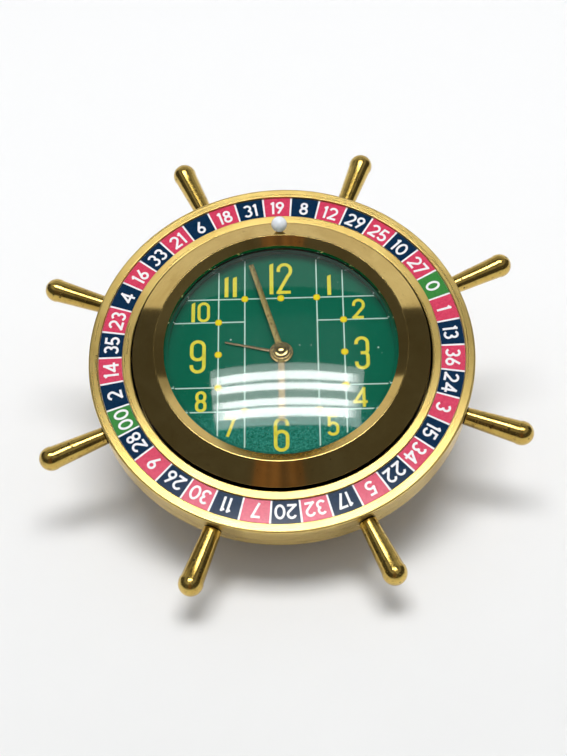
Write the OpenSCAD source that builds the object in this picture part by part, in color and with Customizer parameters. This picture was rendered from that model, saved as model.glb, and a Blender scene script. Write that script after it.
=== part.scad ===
// Wind-up alarm clock set in a turning number wheel with eight handles.
// Millimetres, +Z up. The table is at z = 0 and the origin is under the middle of the
// whole clock. The clock leans back on its leg, so its own axis is tipped from +Z.
// In the clock's own frame z is 0 at the printed number ring, +z comes out of the face
// and +y points to 12.

/* [Stand] */
// Lean of the face from flat on the table, in degrees
recline = 20; // [19:0.5:21]
// Length of the leg from its pin to its foot
leg_length = 24; // [23:0.25:24.25]

/* [Wheel] */
// Outside diameter of the turning rim
rim_d = 102; // [100:0.5:104]
// Depth of the rim from its front lip to its open back
rim_depth = 9.6; // [9:0.1:10]
// Width of the printed number ring
strip_w = 6.3; // [5.8:0.1:6.6]
// Turn of the wheel from the place where a handle pair straddles 12
wheel_turn = -1.9; // [-20:0.1:20]

/* [Handles] */
// Number of handles round the rim
handle_count = 8; // [8]
// Diameter of a handle where it leaves the rim
handle_root_d = 4.5; // [4:0.1:5.2]
// Diameter of a handle at its thick end
handle_end_d = 6.4; // [5.6:0.1:7.2]
// Distance from the clock's axis to a handle's tip
handle_reach = 69.1; // [65:0.1:71]

/* [Case] */
// Outside diameter of the case drum
drum_d = 75; // [75:0.1:75.2]
// Depth of the case behind the number ring
case_depth = 25.5; // [25.5:0.1:26]
// Radius of the bezel's ridge
ridge_r = 33.3; // [32.8:0.1:34]
// Height of the bezel's ridge over the number ring
ridge_h = 4.7; // [4.4:0.1:5.2]
// Radius of the bezel's opening
opening_r = 30.8; // [30.4:0.1:31]
// Diameter of the white pointer ball
ball_d = 4.3; // [4:0.1:4.6]

/* [Hands] */
// Minute shown at rest
minute_at = 57.2; // [0:0.1:60]
// Hour shown at rest
hour_at = 6; // [0:0.1:12]
// Hour that the alarm hand points at
alarm_at = 9.43; // [0:0.01:12]
// Length of the minute hand
minute_hand_l = 27.6; // [24:0.1:27.8]
// Length of the hour hand
hour_hand_l = 19.6; // [16:0.1:22]
// Length of the alarm hand
alarm_hand_l = 15.3; // [12:0.1:18]

/* [Teeth] */
// Teeth of the motion work: cannon pinion, minute wheel, its pinion, hour wheel
motion_teeth = [12, 36, 10, 40]; // [12, 36, 10, 40]
// Teeth of the alarm-set pinion and the alarm wheel
alarm_set_teeth = [16, 48]; // [16, 48]
// Teeth of each barrel and of the pinion that it drives
barrel_teeth = [60, 10]; // [60, 10]
// Teeth of the centre wheel and the third pinion
centre_teeth = [64, 8]; // [64, 8]
// Teeth of the third wheel and the fourth pinion
third_teeth = [60, 8]; // [60, 8]
// Teeth of the fourth wheel and the escape pinion
fourth_teeth = [48, 6]; // [48, 6]
// Teeth of the escape wheel
escape_teeth = 15; // [15]

/* [Hidden] */
$fn = 96;
fit = 0.05; // radial clearance of a running fit
e = 0.01; // cutters run past a face by this much

// Wheel
rim_r = rim_d / 2;
lip_h = 0.6; // lips stand this far over the printed ring
rim_back = lip_h - rim_depth;
strip_t = 0.3;
strip_out_r = rim_r - 2.6;
strip_in_r = strip_out_r - strip_w;
rim_in_r = 39.7;
rim_wall = 2;
web_t = 0.7; // floor of the recess
hub_flange_t = 1;
hub_flange_z = -4.6;
handle_z = -4.6; // handles stand out of the side wall at this height
bead_h = 1.2; // the lip's edge is this high, and the wall under it is set in
bead_step = 0.15;
handle_step = 360 / handle_count;
handle_first = 22.5 + wheel_turn; // clockwise from 12
stud_r = 1;
nut_flat = 3.4;
nut_t = 1.7;
nut_gap = 0.06; // a flat nut sits this far off the round wall at its middle

// Case
drum_r = drum_d / 2;
drum_wall = 0.8;
drum_in_r = drum_r - drum_wall;
drum_front = -1;
drum_back = -case_depth + 0.8;
cover_t = 0.8;
cover_round = 0.8;
ledge_front = -5.4;
ledge_in_r = 33;
bezel_r = 39.2;
bezel_back = -3.4;
bezel_edge_z = 1.7;
opening_z = 2.8; // upper edge of the bezel's opening
lip_z = 1; // underside of the bezel's inner lip
keeper_t = 1;
keeper_z = -5.7;
keeper_r = 39.3;

// Crystal, dial and hands
crystal_r = 32.3;
crystal_foot = -0.2;
crystal_t = 1;
dome_top = 5.9;
dome_edge_z = 2.3;
dome_edge_r = opening_r - 0.05;
dome_rise = dome_top - dome_edge_z;
dome_r = (dome_edge_r * dome_edge_r + dome_rise * dome_rise) / (2 * dome_rise);
dial_r = 36.4;
dial_top = -1.4;
dial_t = 0.5;
ball_foot_r = 35; // the ball meets the bezel's cone this far out
ball_gap = 0.05;
ball_pin_r = 0.4;
ball_pin_in = 1.2; // depth of the pin in the bezel
cone_foot_r = bezel_r - 0.2;
cone_top = [ridge_r + 0.3, ridge_h - 0.15];
cone_slope = atan2(cone_top[1] - bezel_edge_z, cone_foot_r - cone_top[0]);

// Movement plates, front to back
plate_r = 35.2;
front_plate = [-7.4, -6.4]; // back face and front face
back_plate = [-18.4, -17.4];
back_plate_r = 34;
pillar_at_r = 31.5;
pillar_angles = [20, 160, 242, 298];
pillar_r = 1.6;
plate_screw_r = 34.1;
plate_screw_angles = [90, 210, 330];

// Modules of the gears, in millimetres of diameter to a tooth
barrel_m = 0.45;
centre_m = 0.35;
third_m = 0.3;
fourth_m = 0.28;
motion_m1 = 0.5;
motion_m2 = 0.48;
alarm_set_m = 0.5;

// Where the arbors stand, in the clock's frame
function polar(r, a) = [r * cos(a), r * sin(a)];
function mid(m, t) = m * (t[0] + t[1]) / 2; // centre distance of a wheel and a pinion
barrel_gap = mid(barrel_m, barrel_teeth);
alarm_barrel_from_centre = 17.2; // its teeth clear the centre pinion
time_angle = 199;
alarm_angle = -19;
third_angle = 66;
fourth_angle = 15;
escape_angle = 110;
striker_angle = 250;
minute_angle = 270;
alarm_set_angle = 135;
time_at = polar(barrel_gap, time_angle);
alarm_barrel_at = polar(alarm_barrel_from_centre, alarm_angle);
third_at = polar(mid(centre_m, centre_teeth), third_angle);
fourth_at = third_at + polar(mid(third_m, third_teeth), fourth_angle);
escape_at = fourth_at + polar(mid(fourth_m, fourth_teeth), escape_angle);
pallet_at = escape_at + polar(6.3, 170);
balance_at = pallet_at + polar(11, 175);
striker_at = alarm_barrel_at + polar(barrel_gap, striker_angle);
hammer_at = striker_at + polar(6.2, 200);
minute_wheel_at = polar(mid(motion_m1, [motion_teeth[0], motion_teeth[1]]), minute_angle);
alarm_set_at = polar(mid(alarm_set_m, alarm_set_teeth), alarm_set_angle);
stop_at = [11.3, 11.3];

// Mainspring barrels, ratchets and clicks
barrel_z = [-15.6, -10.4];
great_z = [-16.8, -16.1];
barrel_r = 11.2;
barrel_wall = 0.5;
spring_r = [3.2, 10.3]; // innermost and outermost coil
ratchet_n = 12;
ratchet_r = 4.6;
ratchet_depth = 0.9;
ratchet_z = [-19.6, -18.9];
click_reach = 7.4;
click_angle = 62; // stud of the alarm's click; the time click is its mirror image

// Leg
pin_y = 29;
pin_z = -28;
pin_r = 0.8;
leg_t = 1.2;
leg_half_w = 18.5;
leg_window_half_w = 15;
ear_x = 18.7;
ear_t = 1;

// Tooth turn of a pinion that meets a wheel on the line at angle a
function mesh(a, nw, turn_w, np) = a + 180 - (360 / np) * ((turn_w - a) * nw / 360 + 0.5);
centre_turn = mesh(time_angle - 180, barrel_teeth[0], 0, barrel_teeth[1]);
third_turn = mesh(third_angle, centre_teeth[0], 0, centre_teeth[1]);
fourth_turn = mesh(fourth_angle, third_teeth[0], 0, third_teeth[1]);
escape_turn = mesh(escape_angle, fourth_teeth[0], 0, fourth_teeth[1]);
striker_turn = mesh(striker_angle, barrel_teeth[0], 0, barrel_teeth[1]);
cannon_turn = mesh(minute_angle - 180, motion_teeth[1], 0, motion_teeth[0]);
minute_pinion_turn = mesh(minute_angle, motion_teeth[3], 0, motion_teeth[2]);
alarm_pinion_turn = mesh(alarm_set_angle, alarm_set_teeth[1], 0, alarm_set_teeth[0]);

// Height of the number ring's centre, so that the cover's rounded edge is on the table,
// and the shift that puts the origin under the middle of the handles' reach
centre_z = (drum_r - cover_round) * sin(recline)
  + (case_depth - cover_round) * cos(recline) + cover_round;
centre_y = handle_z * sin(recline);

// Puts a child drawn in the clock's own frame where the clock stands on the table
module on_stand() {
  translate([0, centre_y, centre_z]) rotate([recline, 0, 0]) children();
}

// A disc or rod along z between two heights
module rod(r, z0, z1) {
  translate([0, 0, z0]) cylinder(r = r, h = z1 - z0);
}

// A tube along z between two heights
module tube(r_out, r_in, z0, z1) {
  difference() {
    rod(r_out, z0, z1);
    rod(r_in, z0 - e, z1 + e);
  }
}

// A solid of revolution about the clock's axis from points [radius, z]
module turned(points) {
  rotate_extrude($fn = 180) polygon(points);
}

// Outline of a gear: n teeth with straight flanks, turned so one tooth is at angle turn
module teeth(n, m, add, ded, tip, root, turn) {
  pitch = 360 / n;
  polygon([
    for (i = [0 : n - 1], c = [[-ded, -root], [add, -tip], [add, tip], [-ded, root]])
      polar(m * (n / 2 + c[0]), turn + pitch * (i + c[1]))
  ]);
}

module wheel_teeth(n, m, turn = 0) {
  teeth(n, m, 0.9, 1, 0.07, 0.25, turn);
}

module pinion_teeth(n, m, turn = 0) {
  teeth(n, m, 0.6, 1.15, 0.06, 0.2, turn);
}

// A toothed wheel with round holes to lighten it
module train_wheel(n, m, z0, z1, holes, hole_r, hole_at, bore) {
  translate([0, 0, z0]) linear_extrude(z1 - z0) difference() {
    wheel_teeth(n, m);
    circle(r = bore);
    for (i = [0 : holes - 1]) translate(polar(hole_at, 360 / holes * (i + 0.5)))
      circle(r = hole_r, $fn = 32);
  }
}

module pinion(n, m, z0, z1, turn, bore = 0) {
  translate([0, 0, z0]) linear_extrude(z1 - z0) difference() {
    pinion_teeth(n, m, turn);
    if (bore > 0) circle(r = bore);
  }
}

// An arbor with thin pivots that run in both plates
module pivoted(r, pivot_r) {
  rod(r, back_plate[1] + 0.1, front_plate[0] - 0.1);
  rod(pivot_r, back_plate[0] + 0.1, back_plate[1] + 0.1 + e);
  rod(pivot_r, front_plate[0] - 0.1 - e, front_plate[1] - 0.1);
}

// A flat ribbon wound in a spiral
module spiral(r0, r1, turns, t, z0, z1) {
  steps = ceil(turns * 24);
  function at(i, off) = polar(r0 + (r1 - r0) * i / steps + off, 360 * turns * i / steps);
  translate([0, 0, z0]) linear_extrude(z1 - z0) polygon(concat(
    [for (i = [0 : steps]) at(i, 0)],
    [for (i = [steps : -1 : 0]) at(i, t)]
  ));
}

// A saw-toothed ratchet wheel
module ratchet() {
  low = ratchet_r - ratchet_depth;
  translate([0, 0, ratchet_z[0]]) linear_extrude(ratchet_z[1] - ratchet_z[0]) polygon([
    for (i = [0 : ratchet_n - 1], c = [[low, 0.04], [ratchet_r, 0.04], [low, 0.96]])
      polar(c[0], 360 / ratchet_n * (i + c[1]))
  ]);
}

// Case, front to back

module case_drum() {
  color("darkgoldenrod") on_stand() difference() {
    union() {
      tube(drum_r, drum_in_r, drum_back, drum_front);
      tube(drum_in_r + e, ledge_in_r, front_plate[1], ledge_front);
    }
    for (a = plate_screw_angles) translate(polar(plate_screw_r, a))
      rod(0.8, front_plate[1] - e, ledge_front + e);
  }
}

module bezel() {
  color("goldenrod") on_stand() difference() {
    turned([
      [drum_r, bezel_back], [bezel_r, bezel_back], [bezel_r, bezel_edge_z - 0.25],
      [cone_foot_r, bezel_edge_z], cone_top, [ridge_r + 0.1, ridge_h],
      [ridge_r - 0.1, ridge_h], [ridge_r - 0.3, ridge_h - 0.15], [opening_r, opening_z],
      [opening_r, lip_z], [crystal_r + 0.1, lip_z], [crystal_r + 0.1, drum_front],
      [drum_r, drum_front]
    ]);
    ball_line() rod(ball_pin_r, -ball_pin_in, 1);
  }
}

module crystal() {
  inner_r = dome_r - crystal_t;
  centre = dome_top - dome_r;
  color("aliceblue") on_stand() difference() {
    union() {
      intersection() {
        translate([0, 0, centre]) sphere(r = dome_r, $fn = 180);
        rod(dome_edge_r, crystal_foot, dome_top + 1);
      }
      rod(crystal_r, crystal_foot, lip_z - 0.05);
    }
    intersection() {
      translate([0, 0, centre]) sphere(r = inner_r, $fn = 180);
      rod(dome_edge_r - crystal_t, crystal_foot - 1, dome_top);
    }
  }
}

module crystal_ring() {
  color("black") on_stand() tube(crystal_r, opening_r + 0.2, dial_top, crystal_foot);
}

module dial() {
  color("seagreen") on_stand() tube(dial_r, 2.5, dial_top - dial_t, dial_top);
}

// Turns z into the line that stands square on the bezel's cone at 12, from its surface
module ball_line() {
  translate([0, ball_foot_r, bezel_edge_z + (cone_foot_r - ball_foot_r) * tan(cone_slope)])
    rotate([-cone_slope, 0, 0]) children();
}

module pointer_ball() {
  color("white") on_stand() ball_line() difference() {
    translate([0, 0, ball_gap + ball_d / 2]) sphere(d = ball_d, $fn = 64);
    rod(ball_pin_r, 0, ball_d / 2);
  }
}

module pointer_pin() {
  color("goldenrod") on_stand() ball_line() rod(ball_pin_r, -ball_pin_in, ball_d / 2);
}

module wheel_keeper() {
  color("gray") on_stand() tube(keeper_r, drum_r, keeper_z, keeper_z + keeper_t);
}

module back_cover() {
  slot_r = 7.6;
  slot_turn = 22;
  color("goldenrod") on_stand() difference() {
    union() {
      rotate_extrude($fn = 180) difference() {
        union() {
          translate([0, -case_depth]) square([drum_r - cover_round, cover_t]);
          translate([drum_r - cover_round, cover_round - case_depth])
            circle(r = cover_round, $fn = 48);
        }
        translate([0, drum_back]) square([drum_r + 1, cover_round]);
      }
      tube(drum_in_r - fit, drum_in_r - 0.85, drum_back - e, -20.5);
    }
    for (p = [time_at, alarm_barrel_at]) translate(p) rod(1.8, -case_depth - e, drum_back + e);
    rod(1.3, -case_depth - e, drum_back + e);
    translate(alarm_set_at) rod(1.1, -case_depth - e, drum_back + e);
    translate(stop_at) rod(1.4 + fit, -case_depth - e, drum_back + e);
    // arc slot for the regulator's tip
    translate([balance_at[0], balance_at[1], -case_depth - e]) rotate([0, 0, 90 - slot_turn])
      rotate_extrude(angle = 2 * slot_turn) translate([slot_r - 0.8, 0])
        square([1.6, cover_t + 2 * e]);
  }
}

// Movement frame

module arbor_holes(z0, z1, front) {
  for (p = [third_at, fourth_at, escape_at, pallet_at, striker_at, hammer_at])
    translate(p) rod(0.45 + fit, z0, z1);
  translate(balance_at) rod(0.4 + fit, z0, z1);
  for (p = [time_at, alarm_barrel_at]) translate(p) rod(front ? 0.9 + fit : 1.5 + fit, z0, z1);
  translate(alarm_set_at) rod(0.8 + fit, z0, z1);
  rod(1 + fit, z0, z1);
}

module front_plate() {
  color("khaki") on_stand() difference() {
    union() {
      rod(plate_r, front_plate[0], front_plate[1]);
      // stud that the minute wheel turns on
      translate(minute_wheel_at) rod(0.8, front_plate[1] - e, -3.2);
    }
    arbor_holes(front_plate[0] - e, front_plate[1] + e, true);
    for (a = pillar_angles) translate(polar(pillar_at_r, a))
      rod(1, front_plate[0] - e, front_plate[1] + e);
    for (a = plate_screw_angles) translate(polar(plate_screw_r, a))
      rod(0.85, front_plate[0] - e, front_plate[1] + e);
  }
}

module back_plate() {
  color("khaki") on_stand() difference() {
    union() {
      rod(back_plate_r, back_plate[0], back_plate[1]);
      // studs that the clicks turn on
      translate(time_at + polar(click_reach, 180 - click_angle)) rod(0.6, -20, back_plate[0] + e);
      translate(alarm_barrel_at + polar(click_reach, click_angle)) rod(0.6, -20, back_plate[0] + e);
    }
    arbor_holes(back_plate[0] - e, back_plate[1] + e, false);
    for (a = pillar_angles) translate(polar(pillar_at_r, a))
      rod(0.95, back_plate[0] - e, back_plate[1] + e);
  }
}

module pillars() {
  color("silver") on_stand() for (a = pillar_angles) translate(polar(pillar_at_r, a)) {
    rod(pillar_r, back_plate[1], front_plate[0]);
    rod(1, front_plate[0] - e, front_plate[1]);
    rod(0.9, -19.9, back_plate[1] + e);
  }
}

module pillar_nuts() {
  color("silver") on_stand() for (a = pillar_angles) translate(polar(pillar_at_r, a))
    difference() {
      translate([0, 0, back_plate[0] - 1.2]) cylinder(r = 2.1, h = 1.2, $fn = 6);
      rod(0.95, back_plate[0] - 2, back_plate[0] + e);
    }
}

module plate_screws() {
  color("silver") on_stand() for (a = plate_screw_angles) translate(polar(plate_screw_r, a))
    difference() {
      union() {
        rod(0.75, front_plate[0] - e, ledge_front);
        rod(1.4, front_plate[0] - 0.9, front_plate[0]);
      }
      translate([-2, -0.2, front_plate[0] - 1]) cube([4, 0.4, 0.5]);
    }
}

// Turning wheel

module wheel_rim() {
  wall_r = rim_r - bead_step;
  wall_in = rim_r - rim_wall;
  hub_out = rim_in_r + 1.5;
  color("goldenrod") on_stand() difference() {
    turned([
      [drum_r + fit, hub_flange_z], [rim_in_r, hub_flange_z], [rim_in_r, rim_back],
      [hub_out, rim_back], [hub_out, -strip_t - web_t], [wall_in, -strip_t - web_t],
      [wall_in, rim_back], [wall_r - 0.6, rim_back], [wall_r - 0.2, rim_back + 0.2],
      [wall_r, rim_back + 0.6], [wall_r, lip_h - bead_h - bead_step], [rim_r, lip_h - bead_h],
      [rim_r, lip_h - 0.5], [rim_r - 0.15, lip_h - 0.15], [rim_r - 0.5, lip_h],
      [strip_out_r + 0.15, lip_h], [strip_out_r, lip_h - 0.15], [strip_out_r, -strip_t],
      [strip_in_r, -strip_t], [strip_in_r, lip_h - 0.15], [strip_in_r - 0.15, lip_h],
      [rim_in_r + 0.4, lip_h], [rim_in_r, lip_h - 0.4],
      [rim_in_r, hub_flange_z + hub_flange_t], [drum_r + fit, hub_flange_z + hub_flange_t]
    ]);
    for (i = [0 : handle_count - 1]) handle_axis(i)
      rod(stud_r + fit, rim_r - rim_wall - 1, rim_r + 1);
  }
}

module number_ring() {
  color("crimson") on_stand() tube(strip_out_r - 0.05, strip_in_r + 0.05, -strip_t, 0);
}

// Turns z into the outward line of handle i, counted clockwise from 12
module handle_axis(i) {
  translate([0, 0, handle_z]) rotate([0, 0, -handle_first - i * handle_step])
    rotate([-90, 0, 0]) children();
}

module handle(i) {
  end_r = handle_end_d / 2;
  neck = handle_reach - end_r;
  color("goldenrod") on_stand() handle_axis(i) {
    rod(stud_r, rim_r - 4.8, rim_r - bead_step + e);
    rotate_extrude($fn = 48) polygon([
      [0, rim_r - bead_step], [handle_root_d / 2, rim_r - bead_step], [handle_root_d / 2, rim_r + 0.4],
      [end_r - 0.12, neck - 1], [end_r, neck], [0, neck]
    ]);
    intersection() {
      translate([0, 0, neck]) sphere(r = end_r, $fn = 48);
      rod(end_r + 1, neck - e, handle_reach + 1);
    }
  }
}

module handle_nuts() {
  color("silver") on_stand() for (i = [0 : handle_count - 1]) handle_axis(i) difference() {
    translate([0, 0, rim_r - rim_wall - nut_gap - nut_t]) rotate([0, 0, 30])
      cylinder(r = nut_flat / 2 / cos(30), h = nut_t, $fn = 6);
    rod(stud_r + 0.02, rim_r - 8, rim_r);
  }
}

// Motion work and hands

// A straight hand with blunt ends and a round boss, pointing to 12
module hand(length, tail, w, tip_w, t, boss_r, boss_h, bore) {
  difference() {
    union() {
      linear_extrude(t) polygon([
        [-w / 2, -tail], [w / 2, -tail], [w / 2, 0], [tip_w / 2, length],
        [-tip_w / 2, length], [-w / 2, 0]
      ]);
      rod(boss_r, 0, boss_h);
    }
    rod(bore, -1, boss_h + 1);
  }
}

module centre_arbor() {
  color("silver") on_stand() {
    rod(0.9, -30.5, back_plate[0]);
    rod(1, back_plate[0] - e, front_plate[1] + 0.1);
    rod(0.6, front_plate[1], 0.95);
    rod(0.85, 0.9, 1.3);
  }
}

module cannon_pinion() {
  color("khaki") on_stand() difference() {
    union() {
      pinion(motion_teeth[0], motion_m1, -6.1, -4.6, cannon_turn);
      rod(1, -4.6 - e, 0.8);
    }
    rod(0.62, -7, 1);
  }
}

module minute_hand() {
  color("goldenrod") on_stand() translate([0, 0, 0.35]) rotate([0, 0, -minute_at * 6])
    hand(minute_hand_l, 1.5, 1.65, 1.35, 0.2, 2.1, 0.45, 1);
}

module time_set_knob() {
  color("goldenrod") on_stand() difference() {
    union() {
      rod(2.2, -27, -26);
      translate([0, 0, -31]) linear_extrude(4) polygon([
        for (i = [0 : 29], c = [[4.2, 0], [4.2, 0.5], [3.95, 0.6], [3.95, 0.9]])
          polar(c[0], 12 * (i + c[1]))
      ]);
    }
    rod(0.9, -30.5, -25);
  }
}

module minute_wheel() {
  color("khaki") on_stand() translate(minute_wheel_at) {
    train_wheel(motion_teeth[1], motion_m1, -5.7, -5.1, 5, 1.8, 5, 0.8 + fit);
    difference() {
      pinion(motion_teeth[2], motion_m2, -5.1 - e, -3.4, minute_pinion_turn);
      rod(0.8 + fit, -6, -3);
    }
  }
}

module hour_wheel() {
  color("khaki") on_stand() difference() {
    union() {
      train_wheel(motion_teeth[3], motion_m2, -4.3, -3.7, 5, 2, 5.6, 1.05);
      rod(2.6, -4.3, -3.5);
      rod(1.6, -4.3, 0.1);
    }
    rod(1 + fit, -5, 1);
  }
}

module hour_hand() {
  color("goldenrod") on_stand() translate([0, 0, -0.35]) rotate([0, 0, -hour_at * 30])
    hand(hour_hand_l, 2, 1.75, 1.65, 0.2, 2.55, 0.45, 1.6);
}

module alarm_wheel() {
  color("khaki") on_stand() difference() {
    union() {
      train_wheel(alarm_set_teeth[1], alarm_set_m, -3, -2.4, 5, 2.6, 7, 1.65);
      rod(2.2, -3, -0.6);
    }
    rod(1.6 + fit, -4, 1);
  }
}

module alarm_hand() {
  color("goldenrod") on_stand() translate([0, 0, -1.05]) rotate([0, 0, -alarm_at * 30])
    hand(alarm_hand_l, 2.5, 0.85, 0.45, 0.2, 3.15, 0.45, 2.2);
}

module alarm_set_arbor() {
  color("silver") on_stand() translate(alarm_set_at) {
    rod(0.8, -30, -2.3);
    pinion(alarm_set_teeth[0], alarm_set_m, -3.2, -2.3, alarm_pinion_turn);
  }
}

module alarm_set_knob() {
  color("goldenrod") on_stand() translate(alarm_set_at) difference() {
    union() {
      rod(1.8, -27, -26);
      translate([0, 0, -30.5]) linear_extrude(3.5) polygon([
        for (i = [0 : 23], c = [[3.2, 0], [3.2, 0.5], [3, 0.6], [3, 0.9]])
          polar(c[0], 15 * (i + c[1]))
      ]);
    }
    rod(0.8, -30, -25);
  }
}

// Both mainspring sets

module barrel() {
  difference() {
    union() {
      train_wheel(barrel_teeth[0], barrel_m, great_z[0], great_z[1], 6, 1, 5, 1.5 + fit);
      rod(barrel_r, great_z[1] - e, barrel_z[1]);
    }
    rod(barrel_r - barrel_wall, barrel_z[0], barrel_z[1] - barrel_wall);
    rod(1.5 + fit, -18, -9);
  }
}

module mainspring() {
  spiral(spring_r[0], spring_r[1], 5, 0.3, barrel_z[0] + 0.1, barrel_z[1] - barrel_wall - 0.1);
}

module winding_arbor() {
  rod(1.5, -25, front_plate[0] - 0.1);
  rod(0.9, front_plate[0] - 0.1 - e, front_plate[1] - 0.1);
  rod(1.3, -31, -25 + e);
  ratchet();
}

// Butterfly key: a hub with two rounded wings
module key_shape(turn) {
  wing = 7.6;
  difference() {
    rotate([0, 0, turn]) {
      rod(2.6, -30.4, -26.3);
      translate([0, 0.7, -29.4]) rotate([90, 0, 0]) linear_extrude(1.4) difference() {
        union() {
          square([2 * wing - 5, 4.6], center = true);
          for (s = [-1, 1]) translate([s * (wing - 2.5), 0]) circle(r = 2.5, $fn = 48);
        }
        for (s = [-1, 1]) translate([s * (wing - 2.6), 0]) circle(r = 1, $fn = 32);
      }
    }
    rod(1.3, -31, -26);
  }
}

// A click with its beak behind a ratchet tooth
module click() {
  translate(polar(click_reach, click_angle)) difference() {
    union() {
      rod(1.3, ratchet_z[0], ratchet_z[1]);
      translate([0, 0, ratchet_z[0]]) linear_extrude(ratchet_z[1] - ratchet_z[0])
        polygon([[-5.38, -3.19], [-3.07, -1.33], [0.1, -1.2], [-0.5, 1.1], [-5.93, -2.29]]);
    }
    rod(0.6 + fit, ratchet_z[0] - 1, ratchet_z[1] + 1);
  }
}

module time_barrel() {
  color("khaki") on_stand() translate(time_at) barrel();
}

module time_mainspring() {
  color("slategray") on_stand() translate(time_at) mainspring();
}

module time_winding_arbor() {
  color("silver") on_stand() translate(time_at) mirror([1, 0, 0]) winding_arbor();
}

module time_key() {
  color("goldenrod") on_stand() translate(time_at) key_shape(25);
}

module time_click() {
  color("silver") on_stand() translate(time_at) mirror([1, 0, 0]) click();
}

module alarm_barrel() {
  color("khaki") on_stand() translate(alarm_barrel_at) barrel();
}

module alarm_mainspring() {
  color("slategray") on_stand() translate(alarm_barrel_at) mainspring();
}

module alarm_winding_arbor() {
  color("silver") on_stand() translate(alarm_barrel_at) winding_arbor();
}

module alarm_key() {
  color("goldenrod") on_stand() translate(alarm_barrel_at) key_shape(-35);
}

module alarm_click() {
  color("silver") on_stand() translate(alarm_barrel_at) click();
}

// Going train

module centre_wheel() {
  color("khaki") on_stand() difference() {
    union() {
      train_wheel(centre_teeth[0], centre_m, -8.4, -7.8, 5, 2.4, 6.4, 1 + fit);
      rod(1.9, -15.4, -8.4 + e);
      pinion(barrel_teeth[1], barrel_m, -17, -15.4 + e, centre_turn);
    }
    rod(1 + fit, -18, -7);
  }
}

module third_wheel() {
  color("khaki") on_stand() translate(third_at) {
    pivoted(0.7, 0.45);
    pinion(centre_teeth[1], centre_m, -9, -7.6, third_turn);
    train_wheel(third_teeth[0], third_m, -9.6, -9 + e, 5, 1.9, 5.2, 0.6);
  }
}

module fourth_wheel() {
  color("khaki") on_stand() translate(fourth_at) {
    pivoted(0.6, 0.45);
    pinion(third_teeth[1], third_m, -10.1, -8.7, fourth_turn);
    train_wheel(fourth_teeth[0], fourth_m, -12, -11.5, 5, 1.4, 3.8, 0.5);
  }
}

module escape_wheel() {
  tip_r = 4.8;
  rim = 3.4;
  color("khaki") on_stand() translate(escape_at) {
    pivoted(0.5, 0.45);
    pinion(fourth_teeth[1], fourth_m, -12.4, -11.1, escape_turn);
    translate([0, 0, -14.6]) linear_extrude(0.5) difference() {
      polygon([
        for (i = [0 : escape_teeth - 1], c = [[rim, 0], [tip_r, 0.42], [tip_r, 0.5], [rim, 0.55]])
          polar(c[0], 360 / escape_teeth * (i + c[1]))
      ]);
      for (i = [0 : 3]) translate(polar(1.9, 90 * i)) circle(r = 0.8, $fn = 32);
    }
  }
}

// Lever with two pallet pins just clear of the escape wheel's tips, and a fork
module pallet_lever() {
  to_wheel = 350;
  color("silver") on_stand() translate(pallet_at) {
    pivoted(0.5, 0.45);
    translate([0, 0, -13.5]) linear_extrude(0.5) difference() {
      union() {
        circle(r = 1.2);
        for (s = [-1, 1]) rotate([0, 0, to_wheel + s * 60]) translate([0, -0.35]) square([4.9, 0.7]);
        rotate([0, 0, 175]) translate([0, -0.4]) square([9.3, 0.8]);
        rotate([0, 0, 175]) translate([8, -0.8]) square([1.5, 1.6]);
      }
      rotate([0, 0, 175]) translate([8.6, -0.3]) square([2, 0.6]);
    }
    for (s = [-1, 1]) rotate([0, 0, to_wheel + s * 60]) translate([4.5, 0]) rod(0.22, -15, -13);
  }
}

// The balance's impulse pin ends just short of the lever's fork
module balance_wheel() {
  pin_turn = 355;
  color("khaki") on_stand() translate(balance_at) {
    pivoted(0.6, 0.4);
    translate([0, 0, -11.3]) linear_extrude(0.9) union() {
      difference() {
        circle(r = 8.4);
        circle(r = 7.2);
      }
      circle(r = 1.5);
      for (a = [55, 175, 295]) rotate([0, 0, a]) translate([1, -0.45]) square([6.5, 0.9]);
    }
    translate([0, 0, -12.2]) linear_extrude(0.5) union() {
      circle(r = 1);
      rotate([0, 0, pin_turn]) translate([0, -0.5]) square([2.6, 1]);
    }
    translate(polar(2.2, pin_turn)) rod(0.2, -12.8, -12.1);
  }
}

module hairspring() {
  color("steelblue") on_stand() translate(balance_at) {
    spiral(1.2, 4.9, 6, 0.12, -9.8, -9.3);
    translate([5, 0, 0]) rod(0.4, -9.9, front_plate[0]);
  }
}

module regulator() {
  tip = 7.6;
  color("silver") on_stand() translate(balance_at) {
    tube(2, 0.7, -19.2, back_plate[0] - 0.1);
    rotate([0, 0, 90]) translate([1.9, -0.5, -19.2]) cube([tip - 1.5, 1, 0.7]);
    translate([0, tip, 0]) rod(0.5, -26.3, -18.5);
  }
}

// Alarm train

module striking_wheel() {
  color("khaki") on_stand() translate(striker_at) {
    pivoted(0.7, 0.45);
    pinion(barrel_teeth[1], barrel_m, -17, -15.8, striker_turn);
    translate([0, 0, -14.4]) linear_extrude(0.7) polygon([
      for (i = [0 : 9], c = [[2.9, 0], [4.2, 0.45], [4.2, 0.55], [2.9, 1]])
        polar(c[0], 36 * (i + c[1]))
    ]);
  }
}

// Rocking verge inside, and the arm and head that strike the cover's wall outside
module hammer() {
  arm_turn = 217;
  arm_l = 15;
  color("silver") on_stand() translate(hammer_at) {
    pivoted(0.7, 0.45);
    translate([0, 0, -14.4]) linear_extrude(0.7) union() {
      circle(r = 1.5);
      for (s = [-1, 1]) rotate([0, 0, 20 + s * 62]) translate([0, -0.4]) square([3.6, 0.8]);
    }
    rod(0.45, -22, back_plate[0] + 0.2);
    rotate([0, 0, arm_turn]) translate([-0.5, -0.6, -22]) cube([arm_l, 1.2, 0.8]);
    translate(polar(arm_l, arm_turn)) rod(1.6, -23.2, -20.8);
  }
}

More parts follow.
